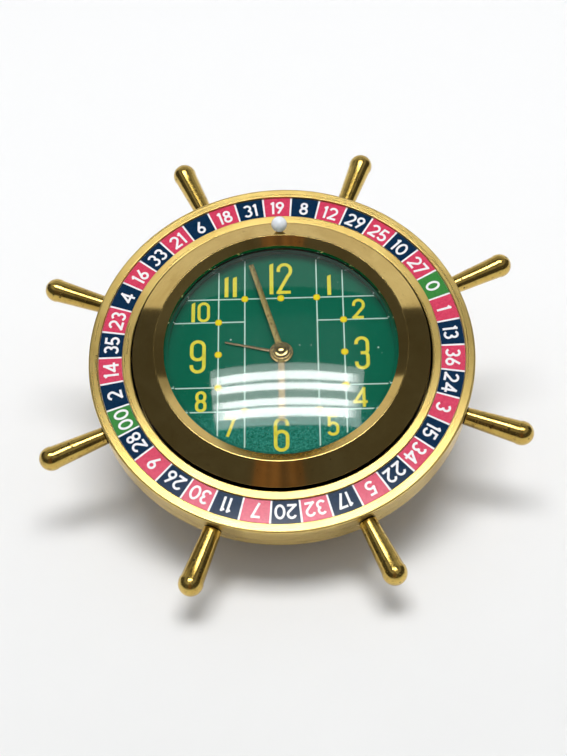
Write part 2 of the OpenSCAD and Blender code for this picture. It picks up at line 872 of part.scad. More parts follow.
module stop_button() {
  color("goldenrod") on_stand() translate(stop_at) {
    rod(2.2, -21.5, -20.5);
    rod(1.4, -28.6, -21.4);
    rod(2.4, -30, -28.5);
  }
}

// Leg

// Slope of the open leg under the table's level, from the height of its pin
function pin_height() = centre_z + pin_y * sin(recline) + pin_z * cos(recline);
leg_slope = asin((pin_height() - 0.35) / leg_length);
leg_open = 180 - leg_slope - recline; // turn from folded down to open

module leg_bracket() {
  color("silver") on_stand() for (s = [-1, 1]) mirror([s < 0 ? 1 : 0, 0, 0]) {
    // base, ear with its hole, and the tab that stops the open leg
    translate([15.4, pin_y - 2.5, -case_depth - 0.8]) cube([4.3, 5.2, 0.8]);
    difference() {
      translate([ear_x, pin_y - 2, pin_z - 1.8]) cube([ear_t, 4, -case_depth - pin_z + 1.8]);
      translate([ear_x - 1, pin_y, pin_z]) rotate([0, 90, 0]) cylinder(r = pin_r, h = 3);
    }
    translate([15.4, 0, 0]) rotate([90, 0, 90]) linear_extrude(3) polygon([
      [pin_y + 1.9, -case_depth - 0.4], [pin_y + 2.7, -case_depth - 0.4],
      [pin_y + 2.7, -31.8], [pin_y + 1.75, -31.8]
    ]);
  }
}

module leg_pin() {
  half = ear_x + ear_t + 0.4;
  color("silver") on_stand() translate([-half, pin_y, pin_z]) rotate([0, 90, 0])
    cylinder(r = pin_r, h = 2 * half);
}

module stand_leg() {
  barrel_out = 1.6;
  bar_w = 2.2;
  color("goldenrod") difference() {
    on_stand() translate([0, pin_y, pin_z]) rotate([leg_open, 0, 0]) difference() {
      union() {
        translate([-leg_half_w, -leg_length - 0.6, -leg_t / 2])
          cube([2 * leg_half_w, leg_length + 0.6, leg_t]);
        translate([-leg_half_w, 0, 0]) rotate([0, 90, 0])
          cylinder(r = barrel_out, h = 2 * leg_half_w);
      }
      translate([-leg_window_half_w, -leg_length + bar_w, -leg_t])
        cube([2 * leg_window_half_w, leg_length - bar_w - 2.2, 2 * leg_t]);
      translate([-leg_half_w - 1, 0, 0]) rotate([0, 90, 0])
        cylinder(r = pin_r + fit, h = 2 * leg_half_w + 2);
    }
    // the foot is cut flat on the table
    translate([-50, -100, -20]) cube([100, 200, 20]);
  }
}

case_drum();
back_cover();
bezel();
crystal();
crystal_ring();
dial();
pointer_ball();
pointer_pin();
wheel_keeper();
front_plate();
back_plate();
pillars();
pillar_nuts();
plate_screws();
leg_bracket();
leg_pin();
hairspring();
wheel_rim();
number_ring();
handle(0);  // handle_1
handle(1);  // handle_2
handle(2);  // handle_3
handle(3);  // handle_4
handle(4);  // handle_5
handle(5);  // handle_6
handle(6);  // handle_7
handle(7);  // handle_8
handle_nuts();
stand_leg();
centre_arbor();
cannon_pinion();
minute_hand();
time_set_knob();
minute_wheel();
hour_wheel();
hour_hand();
alarm_wheel();
alarm_hand();
alarm_set_arbor();
alarm_set_knob();
time_barrel();
time_mainspring();
time_winding_arbor();
time_key();
time_click();
centre_wheel();
third_wheel();
fourth_wheel();
escape_wheel();
pallet_lever();
balance_wheel();
regulator();
alarm_barrel();
alarm_mainspring();
alarm_winding_arbor();
alarm_key();
alarm_click();
striking_wheel();
hammer();
stop_button();
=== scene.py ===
import math
import bpy
from mathutils import Matrix, Vector


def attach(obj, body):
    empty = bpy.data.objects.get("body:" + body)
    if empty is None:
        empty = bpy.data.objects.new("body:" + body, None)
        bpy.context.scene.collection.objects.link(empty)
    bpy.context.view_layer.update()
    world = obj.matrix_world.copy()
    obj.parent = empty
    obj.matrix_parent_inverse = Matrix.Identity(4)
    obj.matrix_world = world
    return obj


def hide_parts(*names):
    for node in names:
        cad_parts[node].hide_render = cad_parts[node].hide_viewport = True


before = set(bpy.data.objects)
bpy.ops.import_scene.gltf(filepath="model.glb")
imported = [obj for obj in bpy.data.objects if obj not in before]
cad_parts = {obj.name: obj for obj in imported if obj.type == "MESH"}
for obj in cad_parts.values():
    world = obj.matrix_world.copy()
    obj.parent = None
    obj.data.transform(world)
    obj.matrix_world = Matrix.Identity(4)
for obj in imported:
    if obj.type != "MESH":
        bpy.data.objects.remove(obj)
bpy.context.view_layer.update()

# The clock's own frame, in millimetres: z is 0 on the number ring and +y points to 12.
# STAND puts it where the clock lies back on its leg, in metres.
TILT = math.radians(20)
MIDDLE = Vector((0, -0.0015733, 0.036562))
STAND = (Matrix.Translation(MIDDLE) @ Matrix.Rotation(TILT, 4, "X")
         @ Matrix.Scale(0.001, 4))
AXIS = (0, -math.sin(TILT), math.cos(TILT))     # the way that the dial faces
WHEEL_TURN = -1.9       # clockwise turn of the wheel, in degrees
HANDLE_Z = -4.6
DIAL_Z = -1.4
POCKETS = ["19", "8", "12", "29", "25", "10", "27", "0", "1", "13", "36", "24", "3",
           "15", "34", "22", "5", "17", "32", "20", "7", "11", "30", "26", "9", "28",
           "00", "2", "14", "35", "23", "4", "16", "33", "21", "6", "18", "31"]
RED = ["19", "12", "25", "27", "1", "36", "3", "34", "5", "32", "7", "30", "9", "14",
       "23", "16", "21", "18"]
POCKET_STEP = 360 / len(POCKETS)
FIRST_POCKET = -0.84    # middle of pocket 19, clockwise from 12
POCKET_IN, POCKET_OUT = 42.18, 48.32
POCKET_MIDDLE = (POCKET_IN + POCKET_OUT) / 2
INK = 0.02              # thickness of the print on the ring
FLECKS = [(-13.4, 4.4, 0.26), (25.6, 1.0, 0.3), (21.1, -4.6, 0.26), (4.9, 2.3, 0.16),
          (7.9, 2.2, 0.14)]     # x, y and radius of dust on the dial
PRINT_DROP = 0.18       # the crystal lifts what is under it by this much to the eye

# The room round the table, in metres
CEILING_Z, WALL_R, LAMP_Z = 2.4, 2.3, 1.7
TUBES = ((-0.063, 0.07), (-0.154, 0.058), (-0.283, 0.058), (-0.37, 0.078))  # y and depth


# Camera: 43 degrees over the table, a little to the right of 6 o'clock

def place_camera():
    bpy.ops.object.camera_add()
    camera = bpy.context.object
    camera.name = "eye"
    camera.matrix_world = Matrix((
        (0.999347, 0.025323, 0.025767, 0.009630),
        (0.001281, 0.687933, -0.725773, -0.265975),
        (-0.036105, 0.725332, 0.687452, 0.277296),
        (0, 0, 0, 1)))
    camera.data.lens = 64.547
    camera.data.sensor_width = 36
    camera.data.clip_start = 0.01
    bpy.context.scene.camera = camera


# Small tools

def bare():
    if bpy.context.mode != "OBJECT":
        bpy.ops.object.mode_set(mode="OBJECT")
    bpy.ops.object.select_all(action="DESELECT")


def only(obj):
    bare()
    obj.select_set(True)
    bpy.context.view_layer.objects.active = obj


def edit(obj, what="SELECT"):
    only(obj)
    bpy.ops.object.mode_set(mode="EDIT")
    bpy.ops.mesh.select_all(action=what)


def trace(name, points, closed=False):
    """A wire in the xy plane through the points, drawn by extruding one vertex."""
    points = [p for i, p in enumerate(points)
              if i == 0 or math.dist(p, points[i - 1]) > 1e-3]
    if closed and math.dist(points[0], points[-1]) < 1e-3:
        points.pop()
    bare()
    bpy.ops.mesh.primitive_plane_add(size=1, location=(0, 0, 0))
    obj = bpy.context.object
    obj.name = name
    bpy.ops.object.mode_set(mode="EDIT")
    bpy.ops.mesh.select_all(action="SELECT")
    bpy.ops.mesh.merge(type="CENTER")
    bpy.ops.transform.translate(value=(points[0][0], points[0][1], 0))
    for a, b in zip(points, points[1:]):
        bpy.ops.mesh.extrude_region_move(
            TRANSFORM_OT_translate={"value": (b[0] - a[0], b[1] - a[1], 0)})
    if closed:
        bpy.ops.mesh.select_all(action="SELECT")
        bpy.ops.mesh.edge_face_add()
        bpy.ops.mesh.select_all(action="SELECT")
        bpy.ops.mesh.delete(type="ONLY_FACE")
    bpy.ops.object.mode_set(mode="OBJECT")
    return obj


def apply_all(obj):
    only(obj)
    for m in list(obj.modifiers):
        bpy.ops.object.modifier_apply(modifier=m.name)


def lathe(name, points, steps, edge=0.0, closed=True):
    """Turns a profile of (radius, z) points round the z axis, and eases its edges."""
    obj = trace(name, points, closed)
    obj.data.transform(Matrix.Rotation(math.pi / 2, 4, "X"))
    edit(obj)
    bpy.ops.mesh.spin(steps=steps, angle=math.tau, center=(0, 0, 0), axis=(0, 0, 1))
    bpy.ops.mesh.select_all(action="SELECT")
    bpy.ops.mesh.remove_doubles(threshold=1e-5)
    bpy.ops.mesh.normals_make_consistent(inside=False)
    bpy.ops.object.mode_set(mode="OBJECT")
    if edge:
        bevel = obj.modifiers.new("eased", "BEVEL")
        bevel.width = edge
        bevel.segments = 3
        bevel.limit_method = "ANGLE"
        bevel.angle_limit = math.radians(20)
        apply_all(obj)
    return obj


def thicken(obj, width, height, z):
    """Makes a traced line a flat bar of that width, from z up to z + height."""
    edit(obj)
    bpy.ops.transform.translate(value=(0, 0, z))
    bpy.ops.mesh.extrude_region_move(TRANSFORM_OT_translate={"value": (0, 0, height)})
    bpy.ops.mesh.select_all(action="SELECT")
    bpy.ops.mesh.normals_make_consistent(inside=False)
    bpy.ops.object.mode_set(mode="OBJECT")
    wall = obj.modifiers.new("width", "SOLIDIFY")
    wall.thickness = width
    wall.offset = 0
    wall.use_even_offset = True
    apply_all(obj)
    edit(obj)
    bpy.ops.mesh.normals_make_consistent(inside=False)
    bpy.ops.object.mode_set(mode="OBJECT")
    return obj


def plate(name, outline, z, height):
    """A flat plate with that outline."""
    obj = trace(name, outline, closed=True)
    edit(obj)
    bpy.ops.transform.translate(value=(0, 0, z))
    bpy.ops.mesh.edge_face_add()
    bpy.ops.mesh.extrude_region_move(TRANSFORM_OT_translate={"value": (0, 0, height)})
    bpy.ops.mesh.select_all(action="SELECT")
    bpy.ops.mesh.normals_make_consistent(inside=False)
    bpy.ops.object.mode_set(mode="OBJECT")
    return obj


def join(name, objects):
    bare()
    for o in objects:
        o.select_set(True)
    bpy.context.view_layer.objects.active = objects[0]
    bpy.ops.object.join()
    objects[0].name = name
    return objects[0]


def delete(objects):
    bare()
    for obj in objects:
        obj.select_set(True)
    bpy.ops.object.delete()


def twin(obj, matrix):
    other = obj.copy()
    other.data = obj.data.copy()
    other.data.transform(matrix)
    bpy.context.collection.objects.link(other)
    return other


def finish_piece(obj, body, material, smooth=35, replaces=(), keep_flat=False):
    """Puts a piece drawn in the clock's frame in its place, and lets it ride its body.
    keep_flat leaves the shading of broad faces to them, and bends it on the eased edges."""
    obj.data.transform(STAND)
    obj.data.name = obj.name
    only(obj)
    if smooth:
        bpy.ops.object.shade_smooth_by_angle(angle=math.radians(smooth))
    if keep_flat:
        weigh = obj.modifiers.new("broad faces", "WEIGHTED_NORMAL")
        weigh.keep_sharp = True
        weigh.weight = 80
        apply_all(obj)
    obj.data.materials.clear()
    obj.data.materials.append(material)
    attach(obj, body)
    if replaces:
        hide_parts(*replaces)
    return obj


def clockwise(degrees):
    return Matrix.Rotation(math.radians(-degrees), 4, "Z")


# Materials. A pattern's Scale counts its features in a metre, so 1000 is 1 mm apart.

def paint(hex_code):
    """An sRGB hex colour as linear values."""
    out = []
    for i in (0, 2, 4):
        c = int(hex_code[i:i + 2], 16) / 255
        out.append(c / 12.92 if c <= 0.04045 else ((c + 0.055) / 1.055) ** 2.4)
    return (*out, 1)


def grey(value):
    return (value, value, value, 1)


def plug(tree, node, sockets):
    """Gives each socket a link from an output, or from a node's first output, or else a
    value."""
    for key, value in sockets.items():
        if isinstance(value, bpy.types.Node):
            value = value.outputs[0]
        if isinstance(value, bpy.types.NodeSocket):
            tree.links.new(value, node.inputs[key])
        else:
            node.inputs[key].default_value = value


def add(tree, kind, sockets=None, stops=(), **settings):
    """Adds a node with its settings and sockets. stops are a ramp's places and colours."""
    node = tree.nodes.new("ShaderNode" + kind)
    for key, value in settings.items():
        setattr(node, key, value)
    plug(tree, node, sockets or {})
    for extra in stops[2:]:
        node.color_ramp.elements.new(0.5)
    for i, (place, colour) in enumerate(stops):
        node.color_ramp.elements[i].position = place
        node.color_ramp.elements[i].color = colour
    return node


def new_material(name, **surface):
    """A material of one Principled shader, with its tree and the object's coordinates."""
    material = bpy.data.materials.new(name)
    material.use_nodes = True
    tree = material.node_tree
    tree.nodes.clear()
    shader = add(tree, "BsdfPrincipled",
                 {key.replace("_", " "): value for key, value in surface.items()})
    add(tree, "OutputMaterial", {"Surface": shader})
    return material, tree, shader, add(tree, "TexCoord").outputs["Object"]


def from_middle(tree, place):
    """Object coordinates, counted from the middle of the clock."""
    return add(tree, "Mapping", {"Vector": place, "Location": -MIDDLE})


def clock_place(tree, place):
    """Object coordinates turned into the clock's own frame, still in metres."""
    return add(tree, "Mapping", {"Vector": from_middle(tree, place),
                                 "Rotation": (-TILT, 0, 0)})


def in_gap(tree, radius, z, inner, outer, top):
    """A mask of what lies between two radii and under a height, in millimetres."""
    mask = None
    for value, none_at, all_at in ((radius, inner, inner + 0.08),
                                   (radius, outer, outer - 0.08),
                                   (z, top + 0.1, top - 0.1)):
        inside = add(tree, "MapRange", {"Value": value, "From Min": none_at / 1000,
                                        "From Max": all_at / 1000})
        mask = inside if mask is None else add(tree, "Math", {0: mask, 1: inside},
                                               operation="MULTIPLY")
    return mask


def lathe_grooves(tree, shader, place, share, spokes):
    """Stretches the gloss across the grooves that a lathe leaves round the clock's axis,
    or on spokes round each spoke's own."""
    if spokes:
        way = add(tree, "Mapping", {"Vector": place,
                                    "Location": -(STAND @ Vector((0, 0, HANDLE_Z)))})
    else:
        way = add(tree, "VectorMath", {0: AXIS, 1: from_middle(tree, place)},
                  operation="CROSS_PRODUCT")
    way = add(tree, "VectorMath", {0: way}, operation="NORMALIZE")
    posed = add(tree, "VectorTransform", {0: way}, vector_type="VECTOR",
                convert_from="OBJECT", convert_to="WORLD")
    plug(tree, shader, {"Anisotropic": share, "Tangent": posed,
                        "Anisotropic Rotation": 0 if spokes else 0.25})


def brass(name, clean, dull, stain, rough, wear, turned=0.0, stain_share=0.45,
          pits=0.25, gap_shade=None, lacquer=0.0, blots=450, spokes=False):
    """Brass, lacquered and worn: warm yellow metal that darkens to olive and brown in
    patches, with hair scratches and small dark pits. Turned parts have fine rings, and
    are drawn out into bright fans across them. Spokes were turned each on its own axis,
    which points away from the middle of the wheel. A gap between two radii, up to a
    height, can be given painted shade, near black."""
    material, tree, shader, place = new_material(name, Metallic=1.0, Coat_Weight=lacquer,
                                                 Coat_Roughness=0.12)
    at = clock_place(tree, place)
    flat = add(tree, "VectorMath", {0: at, 1: (1, 1, 0)}, operation="MULTIPLY")
    radius = add(tree, "VectorMath", {0: flat}, operation="LENGTH").outputs["Value"]
    x, y, z = add(tree, "SeparateXYZ", {0: at}).outputs

    # clouds 11 mm across from clean to dull, and stains of 1 to 2 mm over them
    cloud = add(tree, "TexNoise", {"Vector": at, "Scale": 90, "Detail": 5,
                                   "Roughness": 0.6, "Distortion": 0.6})
    base = add(tree, "ValToRGB", {0: cloud}, [(0.3, paint(clean)), (0.72, paint(dull))])
    blot = add(tree, "TexNoise", {"Vector": at, "Scale": blots, "Detail": 4,
                                  "Roughness": 0.65})
    stained = add(tree, "ValToRGB", {0: blot}, [(stain_share + 0.13, grey(0)),
                                                (stain_share + 0.3, grey(wear))])
    layers = [(stained, stain)]

    # pits of 0.1 to 0.4 mm, 2 mm apart, where a cloud 6 mm across lets them be. Real ones
    # are finer, and wouldn't show.
    size, least = (0.12, 0.4) if spokes else (0.05, 0.5)
    speck = add(tree, "TexVoronoi", {"Vector": at, "Scale": 520})
    spot = add(tree, "ValToRGB", {0: speck}, [(size, grey(1)), (size + 0.08, grey(0))])
    patch = add(tree, "TexNoise", {"Vector": at, "Scale": 160, "Detail": 2,
                                   "Roughness": 0.55})
    some = add(tree, "ValToRGB", {0: patch}, [(least, grey(0)), (least + 0.16, grey(pits))])
    layers.append((add(tree, "Math", {0: spot, 1: some}, operation="MULTIPLY"), "3A2A12"))
    # painted shade, near black, in the gap between two radii and under a height
    if gap_shade:
        layers.append((in_gap(tree, radius, z, *gap_shade), "0C0906"))
    colour = base
    for share, tone in layers:
        colour = add(tree, "Mix", {0: share, 6: colour, 7: paint(tone)},
                     data_type="RGBA").outputs[2]

    # lathe rings or straight lines 0.5 mm apart in the gloss and 0.2 mm in the relief,
    # coarser than real ones so that they show
    if turned:
        angle = add(tree, "Math", {0: y, 1: x}, operation="ARCTAN2")
        slow = add(tree, "Math", {0: angle, 1: 0.0006}, operation="MULTIPLY")
        at_rings = add(tree, "CombineXYZ", {0: radius, 1: slow, 2: z})
        gloss_at, relief_at = at_rings, at_rings
    else:
        gloss_at = add(tree, "Mapping", {"Vector": at, "Scale": (1, 0.22, 1)})
        relief_at = add(tree, "Mapping", {"Vector": at, "Scale": (1, 0.04, 1)})
    fine = add(tree, "TexNoise", {"Vector": gloss_at, "Scale": 2200, "Detail": 2,
                                  "Roughness": 0.7})
    gloss = add(tree, "MapRange", {"Value": fine, "From Min": 0.3, "From Max": 0.7,
                                   "To Min": rough * 0.8, "To Max": rough * 1.2})
    worn = add(tree, "Math", {0: stained, 1: 0.12}, operation="MULTIPLY")
    dents = add(tree, "TexNoise", {"Vector": at, "Scale": 800, "Detail": 4,
                                   "Roughness": 0.6})
    dented = add(tree, "Bump", {"Height": dents, "Distance": 0.00004,
                                "Strength": 0.015 if turned else 0.06})
    scratches = add(tree, "TexNoise", {"Vector": relief_at, "Scale": 5000, "Detail": 2,
                                       "Roughness": 0.5})
    relief = add(tree, "Bump", {"Height": scratches, "Normal": dented, "Distance": 0.00002,
                                "Strength": 0.01 if turned else 0.05})
    plug(tree, shader, {"Base Color": colour, "Normal": relief,
                        "Roughness": add(tree, "Math", {0: gloss, 1: worn},
                                         operation="ADD")})
    if turned:
        lathe_grooves(tree, shader, place, turned, spokes)
    return material


def steel(name, colour, rough):
    """Ground steel: grey metal with a faint haze, and straight grinding lines 0.2 mm
    apart, coarser than real ones so that they show."""
    material, tree, shader, place = new_material(name, Metallic=1.0)
    at = clock_place(tree, place)
    haze = add(tree, "TexNoise", {"Vector": at, "Scale": 300, "Detail": 4,
                                  "Roughness": 0.55})
    tone = add(tree, "ValToRGB", {0: haze}, [(0.3, paint(colour)), (0.75, paint("8C8C8A"))])
    drawn = add(tree, "Mapping", {"Vector": at, "Scale": (1, 0.05, 1)})
    lines = add(tree, "TexNoise", {"Vector": drawn, "Scale": 6000, "Detail": 2,
                                   "Roughness": 0.6})
    gloss = add(tree, "MapRange", {"Value": lines, "To Min": rough * 0.7,
                                   "To Max": rough * 1.4})
    relief = add(tree, "Bump", {"Height": lines, "Strength": 0.1, "Distance": 0.00002})
    plug(tree, shader, {"Base Color": tone, "Roughness": gloss, "Normal": relief})
    return material


def print_ink(name, low, high, rough=0.09, ior=1.5):
    """Screen-printed ink on a coated strip: even colour with a fine mottle from the
    mesh, 0.6 mm apart, and a gloss that pales it only where a lamp stands in its
    mirror."""
    material, tree, shader, place = new_material(name, IOR=ior)
    mottle = add(tree, "TexNoise", {"Vector": place, "Scale": 1600, "Detail": 5,
                                    "Roughness": 0.7})
    tone = add(tree, "ValToRGB", {0: mottle}, [(0.32, paint(low)), (0.68, paint(high))])
    cloud = add(tree, "TexNoise", {"Vector": place, "Scale": 500, "Detail": 3,
                                   "Roughness": 0.55})
    gloss = add(tree, "MapRange", {"Value": cloud, "To Min": rough * 0.75,
                                   "To Max": rough * 1.25})
    relief = add(tree, "Bump", {"Height": mottle, "Strength": 0.1, "Distance": 0.00001})
    plug(tree, shader, {"Base Color": tone, "Roughness": gloss, "Normal": relief})
    return material


def dial_enamel():
    """Green enamel on the metal dial: even at the top, mottled teal where damp got in
    near 6, with pale dust specks. Its gloss is slight, as the crystal shades it."""
    material, tree, shader, place = new_material("dial_green_enamel", IOR=1.08,
                                                 Roughness=0.5)
    at = clock_place(tree, place)
    mottle = add(tree, "TexNoise", {"Vector": at, "Scale": 1900, "Detail": 6,
                                    "Roughness": 0.75})
    clean = add(tree, "ValToRGB", {0: mottle}, [(0.35, paint("005F47")),
                                                (0.68, paint("006B51"))])
    damp = add(tree, "ValToRGB", {0: mottle}, [(0.38, paint("045A48")),
                                               (0.62, paint("3C9A8A"))])
    height = add(tree, "SeparateXYZ", {0: at}).outputs[1]
    low = add(tree, "MapRange", {"Value": height, "From Min": -0.014, "From Max": -0.021,
                                 "To Max": 0.85})
    green = add(tree, "Mix", {0: low, 6: clean, 7: damp}, data_type="RGBA").outputs[2]

    # dust grains of 0.1 mm in a few patches, and the single ones that the eye picks out
    grains = add(tree, "TexVoronoi", {"Vector": at, "Scale": 420})
    speck = add(tree, "ValToRGB", {0: grains}, [(0.03, grey(0.6)), (0.07, grey(0))])
    patch = add(tree, "TexNoise", {"Vector": at, "Scale": 200, "Detail": 2,
                                   "Roughness": 0.55})
    where = add(tree, "ValToRGB", {0: patch}, [(0.55, grey(0)), (0.68, grey(1))])
    dust = add(tree, "Math", {0: speck, 1: where}, operation="MULTIPLY")
    for x, y, size in FLECKS:
        away = add(tree, "VectorMath", {0: at, 1: (x / 1000, y / 1000, DIAL_Z / 1000)},
                   operation="DISTANCE").outputs["Value"]
        near = add(tree, "MapRange", {"Value": away, "From Min": size / 1000,
                                      "From Max": size / 1500})
        dust = add(tree, "Math", {0: dust, 1: near}, operation="MAXIMUM")
    colour = add(tree, "Mix", {0: dust, 6: green, 7: paint("BFD8CC")},
                 data_type="RGBA").outputs[2]
    relief = add(tree, "Bump", {"Height": mottle, "Strength": 0.15, "Distance": 0.00002})
    plug(tree, shader, {"Base Color": colour, "Normal": relief})
    return material


def crystal_acrylic():
    """Moulded acrylic: clear, with a veil of hair scratches that spreads a bright
    lamp's reflection into a soft haze. The outer face mirrors as much as both faces of
    a real one, and the inner face only bends light or throws it all back, so that no
    lamp is seen twice. Light passes through it to the dial."""
    ior, haze = 1.49, 0.045
    material, tree, shader, place = new_material(
        "crystal_acrylic", IOR=ior, Transmission_Weight=1.0, Roughness=haze,
        Base_Color=grey(1))
    # hair scratches 0.3 mm apart, coarser than real ones so that they show
    drawn = add(tree, "Mapping", {"Vector": clock_place(tree, place),
                                  "Scale": (1, 0.06, 1)})
    lines = add(tree, "TexNoise", {"Vector": drawn, "Scale": 3000, "Detail": 3,
                                   "Roughness": 0.6})
    plug(tree, shader, {"Normal": add(tree, "Bump", {"Height": lines, "Strength": 0.03,
                                                     "Distance": 0.00001})})
    mirrors = add(tree, "Fresnel", {"IOR": ior})
    outer = add(tree, "MixShader", {
        0: mirrors, 1: shader, 2: add(tree, "BsdfAnisotropic", {"Roughness": haze})})
    total = add(tree, "Math", {0: mirrors, 1: 0.9}, operation="GREATER_THAN")
    inner = add(tree, "MixShader", {
        0: total, 1: add(tree, "BsdfRefraction", {"IOR": ior, "Roughness": 0}),
        2: add(tree, "BsdfAnisotropic", {"Roughness": 0})})
    inside = add(tree, "NewGeometry").outputs["Backfacing"]
    solid = add(tree, "MixShader", {0: inside, 1: outer, 2: inner})
    clear = add(tree, "BsdfTransparent", {"Color": (0.96, 0.97, 0.96, 1)})
    rays = add(tree, "LightPath").outputs
    lights = add(tree, "Math", {0: rays["Is Shadow Ray"], 1: rays["Is Diffuse Ray"]},
                 operation="MAXIMUM")
    mirrored = add(tree, "Math", {0: rays["Is Glossy Ray"], 1: rays["Is Transmission Ray"]},
                   operation="SUBTRACT")
    passes = add(tree, "Math", {0: lights, 1: mirrored}, operation="MAXIMUM")
    plug(tree, tree.nodes["Material Output"], {
        "Surface": add(tree, "MixShader", {0: passes, 1: solid, 2: clear})})
    return material


def ball_enamel():
    """Enamelled bead: bluish white under a glassy coat, with faint handling marks."""
    material, tree, shader, place = new_material("ball_white_enamel", IOR=1.5,
                                                 Roughness=0.22, Coat_Weight=0.6,
                                                 Coat_Roughness=0.05)
    marks = add(tree, "TexNoise", {"Vector": place, "Scale": 900, "Detail": 4,
                                   "Roughness": 0.55})
    plug(tree, shader, {"Base Color": add(tree, "ValToRGB", {0: marks}, [
        (0.3, paint("E6EDF4")), (0.7, paint("F6F9FC"))])})
    return material


def make_materials():
    return {
        # Turned and lacquered brass of the wheel: bright yellow with lathe lines
        "wheel": brass("wheel_turned_brass", "E7CB7C", "D5B666", "A58845", 0.3, 0.3,
                       turned=0.76, stain_share=0.52, pits=0.12,
                       # painted shade on the inner lip, in the gap by the bezel
                       gap_shade=(39.2, 39.9, 0.42), lacquer=0.4),
        # Polished brass of the bezel: a mirror gone brown in patches
        "bezel": brass("bezel_polished_brass", "E3C67C", "D0B066", "7E5E2C", 0.1, 0.35,
                       # painted shade round the bezel's foot, in the gap by the wheel
                       stain_share=0.5, pits=0.6, gap_shade=(39.12, 39.6, 1.32)),
        # Handles: turned brass, handled until the lacquer went, with dark pitting
        "handle": brass("handle_brass", "DFC066", "BC9A46", "5E4220", 0.22, 0.6,
                        # painted shade at each handle's root, where it meets the rim
                        turned=0.6, pits=0.9, stain_share=0.42, gap_shade=(50.4, 51.2, 3),
                        lacquer=0.35, blots=800, spokes=True),
        # Case and cover: stamped brass, duller
        "case": brass("case_stamped_brass", "CDAF68", "A98A48", "6E5226", 0.26, 0.4),
        # Keys and knobs: stamped and knurled brass, brighter where fingers turn them
        "key": brass("key_brass", "D6B866", "B7964B", "76582A", 0.24, 0.4),
        # Leg: rolled brass strip
        "leg": brass("leg_rolled_brass", "C9AA60", "A68643", "6B5024", 0.3, 0.4),
        # Movement: gilded brass plates and wheels, clean behind the cover
        "movement": brass("movement_gilt_brass", "DDC27A", "C7A85F", "8B6B34", 0.28, 0.2,
                          pits=0.1),
        # Hands: thin gilded brass gone tan, with red-brown corrosion along them
        "hand": brass("hand_tarnished_brass", "9A8C5A", "7A7044", "48280F", 0.38, 0.7,
                      stain_share=0.36, pits=0.6, blots=1200),
        # Alarm hand: the thinnest, gone dark all over
        "thin_hand": brass("alarm_hand_brown_brass", "7E745A", "645A44", "3C2A1C", 0.4,
                           0.6, blots=1200),
        # Collets of the hands: turned brass, bright, with dark hollows
        "collet": brass("collet_turned_brass", "D0BC86", "A8925C", "3E2E18", 0.2, 0.5),
        # Ground steel of arbors, screws and levers, and blued steel of springs
        "steel": steel("ground_steel", "B9BABB", 0.28),
        "spring": steel("blued_spring_steel", "5A6A86", 0.25),
        "ink_red": print_ink("pocket_red_ink", "CC2E52", "E04466", 0.12, 1.46),
        "ink_navy": print_ink("pocket_navy_ink", "082640", "103152", 0.07, 1.27),
        "ink_green": print_ink("pocket_green_ink", "34803A", "409040"),
        "ink_white": print_ink("ring_white_ink", "EEEDF0", "FAF9FA"),
        # Inks under the crystal have a slight gloss, like the enamel that they lie on
        "ink_pale": print_ink("dial_pale_line_ink", "B4DACB", "CDE9DF", 0.5, 1.08),
        "ink_yellow": print_ink("dial_yellow_ink", "E2D63C", "ECE358", 0.5, 1.08),
        "ink_gold": print_ink("dial_gold_ink", "E0C014", "E8CC22", 0.5, 1.08),
        "ink_dot": print_ink("dial_dot_ink", "F0DC1C", "F4E230", 0.5, 1.08),
        # Ring that presses the crystal: metal under black paint
        "ring_black": print_ink("crystal_ring_black", "101312", "1C201F", 0.5),
        "dial": dial_enamel(),
        "crystal": crystal_acrylic(),
        "ball": ball_enamel()}


# Numerals, as the middle lines of their strokes. The ring's are broad and round, the
# dial's narrow with straight sides.

def arc(cx, cy, rx, ry, start, end, n=14):
    out = []
    for i in range(n + 1):
        a = math.radians(start + (end - start) * i / n)
        out.append((cx + rx * math.cos(a), cy + ry * math.sin(a)))
    return out


def ring_digit(d):
    """Strokes (points, closed) of a digit one unit high."""
    if d == "0":
        return [(arc(.36, .5, .26, .405, 90, 450, 28)[:-1], True)]
    if d == "1":
        return [([(.05, .8), (.2, .905), (.2, .02)], False)]
    if d == "2":
        return [(arc(.3, .67, .235, .235, 165, -38) + [(.08, .095), (.58, .095)], False)]
    if d == "3":
        return [(arc(.27, .7, .205, .205, 150, -80), False),
                (arc(.27, .315, .225, .22, 80, -150), False)]
    if d == "4":
        return [([(.66, .29), (.06, .29), (.46, .9), (.46, 0)], False)]
    if d == "5":
        return [([(.53, .905), (.17, .905), (.1, .5)]
                 + arc(.28, .32, .235, .225, 118, -150), False)]
    if d == "6":
        return [(arc(.3, .3, .205, .205, 90, 450, 24)[:-1], True),
                ([(.125, .41), (.43, .94)], False)]
    if d == "7":
        return [([(.02, .905), (.5, .905), (.16, 0)], False)]
    if d == "8":
        return [(arc(.28, .72, .175, .18, 90, 450, 22)[:-1], True),
                (arc(.28, .3, .215, .205, 90, 450, 24)[:-1], True)]
    turned = ring_digit("6")
    return [([(.6 - x, 1 - y) for x, y in p], c) for p, c in turned]


